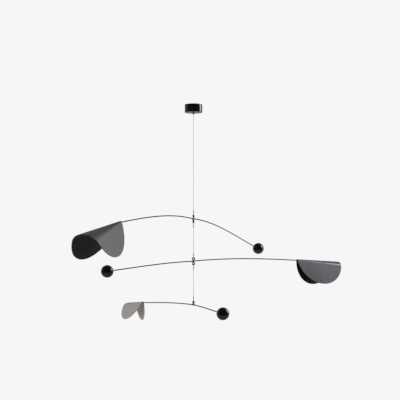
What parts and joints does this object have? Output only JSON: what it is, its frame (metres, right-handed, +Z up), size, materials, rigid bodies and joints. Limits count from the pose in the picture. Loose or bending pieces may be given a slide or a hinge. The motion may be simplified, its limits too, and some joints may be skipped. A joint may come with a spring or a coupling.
{
  "type": "hanging mobile",
  "caption": "Tiered hanging mobile: curved rods with a ball at one end and a rolled sheet leaf at the other, hung under each other on thin wires from a small ceiling canopy.",
  "frame": {"origin": "centre of the ceiling strap's upper face, which lies on the ceiling", "axes": "+Z up, along the wire line; the side that is seen in the picture faces -Y; +X to the right"},
  "size_m": [0.6511, 0.9805, 0.5687],
  "materials": {
    "zinc": "plain zinc-plated sheet steel, out of sight",
    "black_gloss": "gloss black lacquer",
    "rod_black": "satin near-black coating on round steel rod",
    "wire_steel": "bright drawn steel wire",
    "crimp_metal": "plain metal sleeve, satin",
    "leaf_upper": "sheet with a satin graphite grey coating",
    "leaf_middle": "sheet with a satin graphite grey coating",
    "leaf_lower": "sheet with a satin warm light grey coating"
  },
  "bodies": {
    "canopy": {"ceiling_strap": "zinc", "canopy": "black_gloss", "wire_grip": "black_gloss"},
    "upper_arm": {"upper_wire": "wire_steel", "upper_wire_crimp": "crimp_metal", "upper_wire_loop": "wire_steel", "upper_rod": "rod_black", "upper_ball": "black_gloss", "upper_leaf": "leaf_upper", "middle_wire_top_loop": "wire_steel", "middle_wire_top_crimp": "crimp_metal"},
    "middle_arm": {"middle_wire": "wire_steel", "middle_wire_crimp": "crimp_metal", "middle_wire_loop": "wire_steel", "middle_rod": "rod_black", "middle_ball": "black_gloss", "middle_leaf": "leaf_middle", "lower_wire_top_loop": "wire_steel", "lower_wire_top_crimp": "crimp_metal"},
    "lower_arm": {"lower_wire": "wire_steel", "lower_wire_crimp": "crimp_metal", "lower_wire_loop": "wire_steel", "lower_rod": "rod_black", "lower_ball": "black_gloss", "lower_leaf": "leaf_lower"}
  },
  "joints": [
    {"name": "upper_arm_turn", "type": "hinge", "parent": "canopy", "child": "upper_arm", "pos_m": [0, 0, -0.0218], "axis": [0, 0, 1], "continuous": true},
    {"name": "middle_arm_turn", "type": "hinge", "parent": "upper_arm", "child": "middle_arm", "pos_m": [0, 0, -0.3072], "axis": [0, 0, 1], "continuous": true},
    {"name": "lower_arm_turn", "type": "hinge", "parent": "middle_arm", "child": "lower_arm", "pos_m": [0, 0, -0.413], "axis": [0, 0, 1], "continuous": true}
  ]
}
